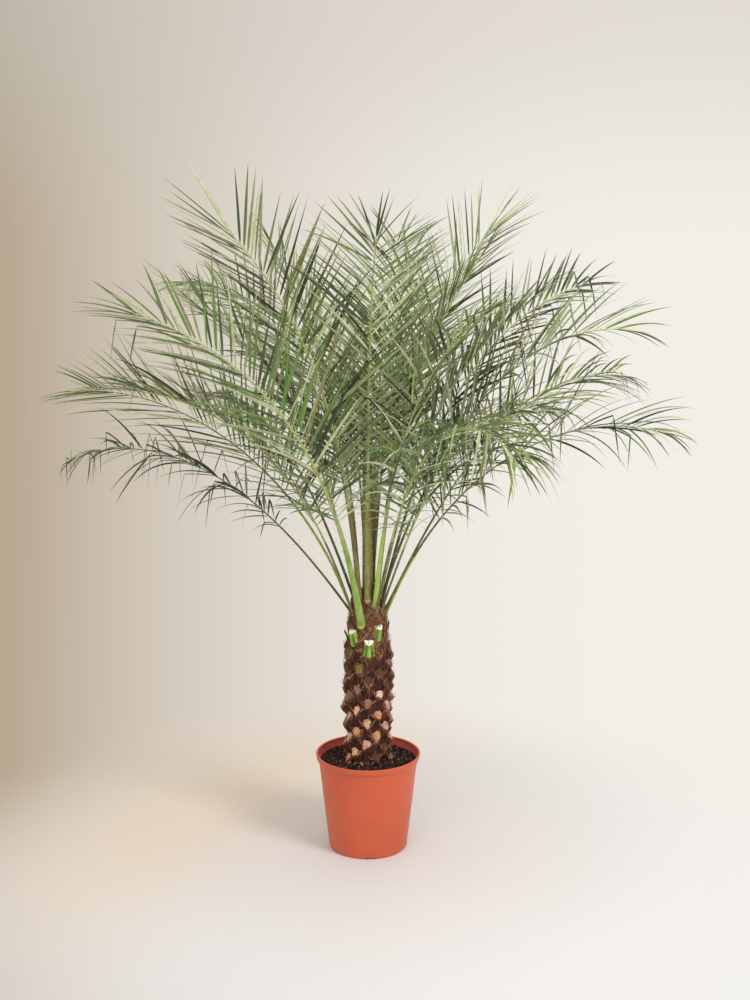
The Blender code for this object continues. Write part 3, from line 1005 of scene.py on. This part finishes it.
fronds = {
    "frond_01": grow(
        "low", 152, 0.545, (42, 126), 1.6, 1.00, 0, -28, leaf=0.165, splay=(56, 36, 20), droop=0.8, stray=18,
        kinks=0.42, gaps=0.24, broad=0.85, stalk=(0.0034, 0.0022), greens="night"
    ),
    "frond_02": grow(
        "low", 172, 0.555, (20, 107), 1.2, 1.00, -16, -40, leaf=0.245, end=0.895, splay=(60, 42, 13),
        lift=24, droop=0.16, stray=4, gaps=0.24, broad=0.82, stalk=(0.0040, 0.0028), petiole="green",
        greens="middle"
    ),
    "frond_03": grow(
        "middle", 210, 0.550, (19, 92), 1.6, 0.86, -4, 10, leaf=0.235, lift=22, stalk=(0.0042, 0.0028),
        greens="deep"
    ),
    "frond_04": grow(
        "middle", 250.5, 0.530, (22, 80), 1.7, 1.09, -45, 28, leaf=0.250, end=0.91, splay=(60, 44, 34),
        lift=18, droop=0.22, broad=1.1, stalk=(0.0110, 0.0044), petiole="green", greens="bright"
    ),
    "frond_05": grow(
        "middle", 320, 0.555, (21, 98), 2.1, 0.78, 0, 20, leaf=0.25, lift=20, droop=0.75, stray=14,
        stalk=(0.0036, 0.0026)
    ),
    "frond_06": grow(
        "middle", 295, 0.550, (22, 140), 2.1, 0.94, 0, 0, droop=1.0, stray=10, kinks=0.14,
        stalk=(0.0036, 0.0026), greens="bright"
    ),
    "frond_07": grow(
        "low", 352, 0.547, (22, 107), 1.33, 0.95, -42, 36, leaf=0.235, taper=0.66, splay=(54, 40, 14),
        lift=24, droop=0.55, gaps=0.26, broad=0.8, stalk=(0.0058, 0.0028), petiole="green", tinted=0.55,
        greens="middle"
    ),
    "frond_08": grow(
        "low", 18, 0.550, (28, 121), 2.1, 0.98, 16, 30, leaf=0.21, droop=0.7, stalk=(0.0038, 0.0024)
    ),
    "frond_09": grow("low", 58, 0.545, (34, 122), 1.7, 0.98, -10, 10),
    "frond_10": grow("low", 94, 0.550, (30, 118), 1.7, 1.00, 8),
    "frond_11": grow("low", 126, 0.550, (34, 112), 1.6, 0.98, -6, -10),
    "frond_12": grow("middle", 134, 0.580, (7, 97), 1.8, 1.00, 14, -24, leaf=0.240, broad=1.12),
    "frond_13": grow(
        "inner", 234, 0.585, (8, 54), 1.6, 1.02, -22, 30, leaf=0.236, taper=0.26, end=0.892,
        splay=(58, 50, 40), lift=18, droop=0.06, broad=1.15, greens="middle"
    ),
    "frond_14": grow(
        "middle", 297, 0.568, (11, 84), 1.7, 1.00, 10, 14, leaf=0.20, end=0.86, gaps=0.18,
        stalk=(0.0088, 0.0034), petiole="lime", tinted=0.7
    ),
    "frond_15": grow(
        "middle", 340, 0.570, (20, 109), 2.4, 1.00, -18, 28, lift=20, droop=0.4, gaps=0.12,
        stalk=(0.0044, 0.0034), petiole="green"
    ),
    "frond_16": grow(
        "middle", 16, 0.575, (15, 91), 2.1, 1.00, 6, 32, leaf=0.196, lift=20, kinks=0.45, gaps=0.12,
        broad=1.1, greens="night"
    ),
    "frond_17": grow("middle", 76, 0.575, (15, 92), 1.8, 1.00, -6, leaf=0.225),
    "frond_18": grow(
        "inner", 40, 0.590, (8, 62), 2.0, 1.05, -12, 26, leaf=0.208, taper=0.24, end=0.845,
        splay=(56, 44, 30), lift=20, droop=0.2, gaps=0.06, broad=0.88
    ),
    "frond_19": grow("inner", 80, 0.590, (10, 64), 1.8, 1.00, 0, 0, leaf=0.228),
    "frond_20": grow(
        "inner", 192, 0.590, (12, 66), 1.9, 0.84, -4, -12, leaf=0.246, end=0.92, broad=1.1, greens="middle"
    ),
    "frond_21": grow(
        "inner", 270, 0.585, (2, 60), 1.6, 1.02, 6, leaf=0.236, taper=0.4, end=0.88, lift=10,
        stalk=(0.0092, 0.0050), petiole="olive"
    ),
    "frond_22": grow("inner", 350, 0.590, (12, 64), 1.9, 0.86, -14, 12, leaf=0.200, greens="middle"),
    "frond_23": grow("heart", 62, 0.600, (4, 38), 1.8, 0.86, 0, leaf=0.19, splay=(46, 38, 30)),
    "frond_24": grow("heart", 158, 0.600, (4, 42), 1.8, 0.90, 0, leaf=0.20, splay=(50, 42, 34)),
    "frond_25": grow("heart", 356, 0.600, (6, 42), 1.8, 0.88, 0, leaf=0.20, splay=(50, 42, 34)),
}
leaflets = {
    "spacing": 0.0130,  # along the rib, from one pair to the next
    "width": 0.0080,
    "joint": 0.03,  # share of a leaflet that is its pale, narrow joint
    "segments": 10,
    "fold": 33, "turn": 24, "turnSpread": 26, "dryTips": 0.12,
    "jointTone": (186, 198, 128),
    "dryTone": (168, 152, 108),
    # the night tone is partly painted shade, as on backlit leaflets, and the grey and light tones are partly
    # painted highlight, each dealt out at random among the leaflets' own greens
    "tones": {
        "night": (44, 54, 32),
        "deep": (64, 82, 42),
        "green": (98, 118, 60),
        "grey": (142, 152, 112),
        "light": (182, 191, 148),
        "olive": (126, 122, 78),
        "vivid": (98, 132, 58),
    },
    "toneShares": {  # of the tones, in their order
        # the night mix leans to the night tone's painted shade
        "night": (5, 4, 2, 1, 0.3, 0.5, 0),
        "deep": (2, 4, 3, 2.5, 0.8, 2, 0),
        "middle": (1.3, 2.5, 3.6, 3.2, 2.6, 1.4, 0.6),
        "bright": (0.4, 2, 3.5, 2, 3, 1.4, 2.6),
        "fresh": (0.6, 1.8, 3.4, 4, 4, 0.8, 0.6),
    },
}
ribs = {
    "stalkShare": 0.27, "sides": 12, "steps": 44, "tipHalfWidth": 0.0010,
    "collar": 0.016,  # length of the yellow foot
    "collarTones": ((196, 196, 78), (158, 168, 62)),
    "spineTone": (206, 204, 158),
    "petioles": {
        "dark": ((104, 108, 66), (70, 66, 46)),
        "green": ((140, 166, 84), (112, 134, 62)),
        "lime": ((158, 188, 84), (128, 162, 62)),
        "olive": ((146, 146, 82), (112, 98, 58)),
        "scurfy": ((126, 122, 70), (104, 70, 50)),
    },
    "rachises": {
        "deep": ((112, 120, 74), (84, 90, 56)),
        "fresh": ((160, 172, 112), (124, 140, 84)),
    },
}

Station = namedtuple("Station", "along place forward side face")


def ribStations(frond):
    # evenly spaced places along the rib with its own three directions
    fine = 8
    steps = ribs["steps"] * fine
    place = polar(frond.heading, trunkRadius(frond.foot) - 0.006, frond.foot)
    roll = radians(frond.roll)
    stations = []
    for step in range(steps + 1):
        along = frond.end * step / steps
        lean = radians(lerp(*frond.lean, along**frond.bend))
        out = spoke(frond.heading + frond.turn * along)
        forward = swing(up, out, lean)
        face = swing(-out, up, lean)
        if step % fine == 0:
            turned = swing(forward.cross(face), -face, roll)
            stations.append(Station(along, place.copy(), forward, turned, turned.cross(forward)))
        place += forward * frond.length * frond.end / steps
    return stations


def stationAt(stations, along):
    position = along / stations[-1].along * (len(stations) - 1)
    index = min(int(position), len(stations) - 2)
    near, far = stations[index], stations[index + 1]
    parts = [lerp(a, b, position - index) for a, b in zip(near[1:], far[1:])]
    return Station(along, parts[0], *[part.normalized() for part in parts[1:]])


def offRib(station, sign, splay, lift):
    # a direction to one side of the rib, by its degrees off the rib and over the frond's face
    out = swing(station.side * sign, station.face, radians(lift))
    return swing(station.forward, out, radians(splay))


def ribHalfWidth(frond, along):
    foot, stalk = frond.stalk
    if along < ribs["stalkShare"]:
        return lerp(foot, stalk, (along / ribs["stalkShare"]) ** 0.6)
    share = (along - ribs["stalkShare"]) / (frond.end - ribs["stalkShare"])
    return lerp(stalk, ribs["tipHalfWidth"], share**0.55)


def makeRib(name, frond, stations, finishes, nodes):
    collar = ribs["collar"] / frond.length
    early = [stationAt(stations, collar * share) for share in (0, 0.12, 0.35, 0.7)]
    ladder = early + [station for station in stations if station.along > collar]
    rows = []
    for number, station in enumerate(ladder):
        half = ribHalfWidth(frond, station.along) * (0.55, 0.86, 1, 1)[min(number, 3)]
        thick = half * lerp(0.78, 0.95, min(station.along / 0.3, 1))
        row = []
        for i in range(ribs["sides"]):
            angle = tau * (i + 0.5) / ribs["sides"]
            across, rise = cos(angle), sin(angle)
            # round below, with a shallow channel along the top
            flat = 0.75 * rise - 0.45 * rise**3 if rise > 0 else rise
            row.append(station.place + station.side * half * across + station.face * thick * flat)
        rows.append(row)
    bare = ribs["stalkShare"] * frond.tinted
    leafy = next(i for i, station in enumerate(ladder) if station.along > bare)
    pile = Pile()
    pile.grid(rows, lambda i, j: 2 if i < 3 else 0 if i < leafy else 3, True, True)
    addSpines(pile, name, frond, stations)
    pile.piece(name + "_rib", finishes, "frond", nodes)


def addSpines(pile, name, frond, stations):
    rng = random.Random(name + " spines")
    along = 0.07
    while along < ribs["stalkShare"]:
        station = stationAt(stations, along)
        for sign in (-1, 1):
            if rng.random() < 0.5:
                continue
            heading = offRib(station, sign, rng.uniform(45, 84), rng.uniform(5, 50))
            length = lerp(0.005, 0.026, (along / ribs["stalkShare"]) ** 1.6) * rng.uniform(0.6, 1.2)
            foot = station.place + station.side * sign * ribHalfWidth(frond, along) * 0.85
            across = heading.orthogonal().normalized()
            other = heading.cross(across)
            shape = ((0.0007, -0.001), (0.0005, 0.3), (0.0003, 0.7), (0.0001, 1))
            rows = [ring(foot + heading * length * reach, across, other, size, 4) for size, reach in shape]
            pile.grid(rows, 1, around=True)
        along += rng.uniform(0.016, 0.032)


def leafletHalf(share):
    # a leaflet's outline: a narrow joint, widest a third of the way, and a long fine tip
    foot = 1 - 0.62 * (1 - min(share / 0.26, 1)) ** 2
    return foot * max(1 - share**2.3, 0.015) ** 0.95


def addLeaflet(pile, foot, direction, face, length, width, droop, twist, kink, tones):
    segments = leaflets["segments"]
    steps = [0, leaflets["joint"]] + [share**0.95 for share in shares(segments)[1:]]
    fold = radians(leaflets["fold"])
    point = foot.copy()
    rows = []
    for i, share in enumerate(steps):
        step = steps[min(i + 1, len(steps) - 1)] - share
        top = Matrix.Rotation(twist * share, 3, direction) @ face
        across = direction.cross(top).normalized()
        top = across.cross(direction)
        half = width / 2 * leafletHalf(share)
        opening = fold * (1 - 0.4 * share)
        edge = across * half * cos(opening)
        rise = top * half * sin(opening)
        rows.append((point - edge + rise, point, point + edge + rise))
        # a leaflet sinks by how far it reaches out level, so an upright one stays straight
        level = hypot(direction.x, direction.y)
        direction = (direction - up * droop * level * (0.25 + share) * step * 1.6).normalized()
        if kink and share < kink <= share + step:
            direction = (direction * 0.22 - up + across * 0.2).normalized()
        point = point + direction * length * step
    joint, blade, tip = tones
    pile.grid(rows, lambda i, j: joint if i == 0 else tip if i >= len(steps) - 3 else blade)


def leafletLength(leafy, taper):
    # share of the longest, from the lowest pair to the last
    rising = 0.40 + 0.60 * min(leafy / 0.30, 1) ** 0.8
    return rising * (1 - taper * max(0, (leafy - 0.50) / 0.50) ** 1.5)


def leafletSplay(frond, leafy):
    foot, middle, tip = frond.splay
    if leafy < 0.35:
        return lerp(foot, middle, leafy / 0.35)
    return lerp(middle, tip, ((leafy - 0.35) / 0.65) ** 1.4)


def makeLeaflets(name, frond, stations, finishes):
    rng = random.Random(name)
    pile = Pile()
    stalk, end = ribs["stalkShare"], frond.end
    pairs = int((end - stalk) * frond.length / leaflets["spacing"])
    joint, dry = len(leaflets["tones"]), len(leaflets["tones"]) + 1
    for pair in range(pairs + 1):
        for sign in (-1, 1):
            leafy = clamp((pair + (0.25 if sign > 0 else -0.25) + rng.uniform(-0.2, 0.2)) / pairs)
            station = stationAt(stations, lerp(stalk, end, leafy))
            splay = leafletSplay(frond, leafy)
            if leafy > 0.94:
                splay *= rng.uniform(0.15, 0.8)
            splay += rng.gauss(0, frond.stray)
            heading = offRib(station, sign, splay, frond.lift + rng.gauss(0, frond.stray * 1.6))
            turn = radians(leaflets["turn"] + rng.gauss(0, leaflets["turnSpread"]))
            face = swing(station.face, station.forward, turn)
            length = frond.leaf * leafletLength(leafy, frond.taper) * rng.uniform(0.88, 1.08)
            width = leaflets["width"] * lerp(0.7, 1, min(leafy / 0.2, 1)) * lerp(1, 0.72, leafy**2)
            width *= rng.uniform(0.8, 1.15) * frond.broad
            droop = frond.droop * rng.uniform(0.5, 1.6)
            kink = rng.uniform(0.35, 0.62) if rng.random() < frond.kinks else 0
            foot = station.place + station.side * sign * ribHalfWidth(frond, station.along) * 0.7
            blade = rng.choices(range(joint), leaflets["toneShares"][frond.greens])[0]
            tip = dry if rng.random() < leaflets["dryTips"] else blade
            twist = rng.gauss(0, 0.45)
            if rng.random() >= frond.gaps:
                tones = (joint, blade, tip)
                addLeaflet(pile, foot, heading, face, length, width, droop, twist, kink, tones)
    pile.piece(name + "_leaflets", finishes, "frond", sharp=28)


def leafFinish(name, colour):
    finish = Finish("leaf " + name, specular_ior_level=0.5)
    light = tuple(min(c * 1.18, 1) for c in rgb(*colour))
    dark = tuple(c * 0.85 for c in rgb(*colour))
    base = finish.blend(finish.noise(70, 3, 0.6).band(0.3, 0.7), dark, light)
    finish.feed(base_color=base, roughness=0.30 + 0.2 * finish.noise(160, 2))
    veins = finish.coordinate(0, "UV") * 90
    finish.bump(veins.maths("SINE", veins), 0.0001, 0.35)
    return finish


def ribFinish(name, tones):
    finish = mottled(name, tones, (110, 4, 0.6, (1, 1, 0.25)), (0.4, 0.72), specular_ior_level=0.4)
    finish.feed(roughness=0.42 + 0.2 * finish.grain)
    finish.bump(finish.noise(600, 2), 0.0002, 0.4)
    return finish


def makeFronds():
    tones = {**leaflets["tones"], "joint": leaflets["jointTone"], "dry tip": leaflets["dryTone"]}
    leafFinishes = [leafFinish(name, tone) for name, tone in tones.items()]
    spine = Finish("spine", base_color=rgb(*ribs["spineTone"]), roughness=0.5)
    collar = mottled("collar", ribs["collarTones"], (200, 3), (0.35, 0.7), roughness=0.5)
    petioles = {tint: ribFinish("petiole " + tint, pair) for tint, pair in ribs["petioles"].items()}
    rachises = {tint: ribFinish("rachis " + tint, pair) for tint, pair in ribs["rachises"].items()}
    for name, frond in fronds.items():
        nodes = [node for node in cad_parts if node.startswith(name)]
        finishes = [petioles[frond.petiole], spine, collar, rachises[frond.rachis]]
        stations = ribStations(frond)
        makeRib(name, frond, stations, finishes, nodes)
        makeLeaflets(name, frond, stations, leafFinishes)


makeFronds()
print("fronds ready")

spear = {
    "foot": 0.600, "length": 0.565, "lean": 2, "heading": 100,
    "strips": 90, "steps": 10,
    "neck": 0.36, "footRadius": 0.0130, "neckRadius": 0.0085, "tipRadius": 0.0013,
    "tones": {
        "spear green": ((138, 146, 74), (100, 112, 54)),
        "spear olive": ((118, 112, 62), (86, 78, 46)),
        "spear rust": ((128, 84, 58), (90, 56, 42)),
    },
}


def spearBody(height):
    # stout where the young leaves are still packed round it, then slim
    stout = lerp(spear["footRadius"], spear["neckRadius"], min(height / spear["neck"], 1))
    slim = max(0, (height - spear["neck"]) / (spear["length"] - spear["neck"]))
    return lerp(stout, spear["tipRadius"], slim)


def makeSpear():
    rng = random.Random(77)
    forward = swing(up, spoke(spear["heading"]), radians(spear["lean"]))
    across = forward.orthogonal().normalized()
    other = forward.cross(across)
    foot = up * spear["foot"]
    pile = Pile()
    for number in range(spear["strips"]):
        out = swing(across, other, number * radians(goldenAngle))
        side = forward.cross(out)
        start = rng.uniform(0, 0.62) * spear["length"]
        length = min(rng.uniform(0.18, 0.30), spear["length"] - start)
        rows = []
        for share in shares(spear["steps"]):
            height = start + length * share
            edge = side * (0.0034 * (1 - share**3) + 0.0003)
            centre = foot + forward * height + out * (spearBody(height) + 0.0012 * share**2)
            rows.append((centre - edge - out * 0.0008, centre, centre + edge - out * 0.0008))
        pile.grid(rows, rng.choices((0, 1, 2), (4, 3, 2))[0])
    heights = [spear["length"] * share for share in shares(12)]
    rod = [ring(foot + forward * z, across, other, spearBody(z) - 0.0005, 10) for z in heights]
    pile.grid(rod, 1, around=True, fillEnds=True)
    finishes = [
        mottled(name, tones, (400, 4, 0.6, (1, 1, 0.1)), (0.35, 0.7), 0.0004, roughness=0.6)
        for name, tones in spear["tones"].items()
    ]
    pile.piece("spear_leaf", finishes, "young_leaf", ["spear"])


makeSpear()
print("spear ready")
